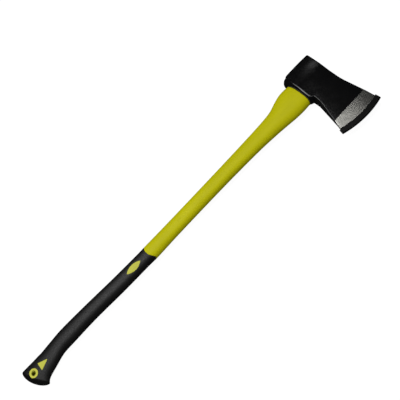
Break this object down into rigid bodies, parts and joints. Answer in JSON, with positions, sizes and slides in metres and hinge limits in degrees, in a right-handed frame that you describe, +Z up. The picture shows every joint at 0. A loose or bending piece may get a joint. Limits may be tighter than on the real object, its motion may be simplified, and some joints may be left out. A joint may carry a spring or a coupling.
{
  "type": "fire axe",
  "caption": "Flat-head fire axe with a single forged blade, a two-colour fibreglass handle with a rubber grip, and a push-on guard over the cutting edge.",
  "frame": {"origin": "on the lower cheek of the head, under the middle of the eye", "axes": "+X up the handle to the top of the head, -Y the way the blade faces, +Z up with the axe lying on its side"},
  "size_m": [0.9248, 0.18, 0.036],
  "materials": {
    "black_enamel": "gloss",
    "guard_plastic": "satin",
    "fibreglass": "sawn",
    "epoxy": "poured",
    "seal_rubber": "matt",
    "yellow_plastic": "fine texture",
    "grip_rubber": "matt"
  },
  "bodies": {
    "axe": {"axe_head": "black_enamel", "handle_core": "fibreglass", "eye_resin": "epoxy", "eye_seal": "seal_rubber", "handle_jacket": "yellow_plastic", "grip_sleeve": "grip_rubber"},
    "guard": {"edge_guard": "guard_plastic"}
  },
  "joints": [
    {"name": "guard_off", "type": "slide", "parent": "axe", "child": "guard", "axis": [0, -1, 0], "range_m": [0, 0.04]}
  ]
}
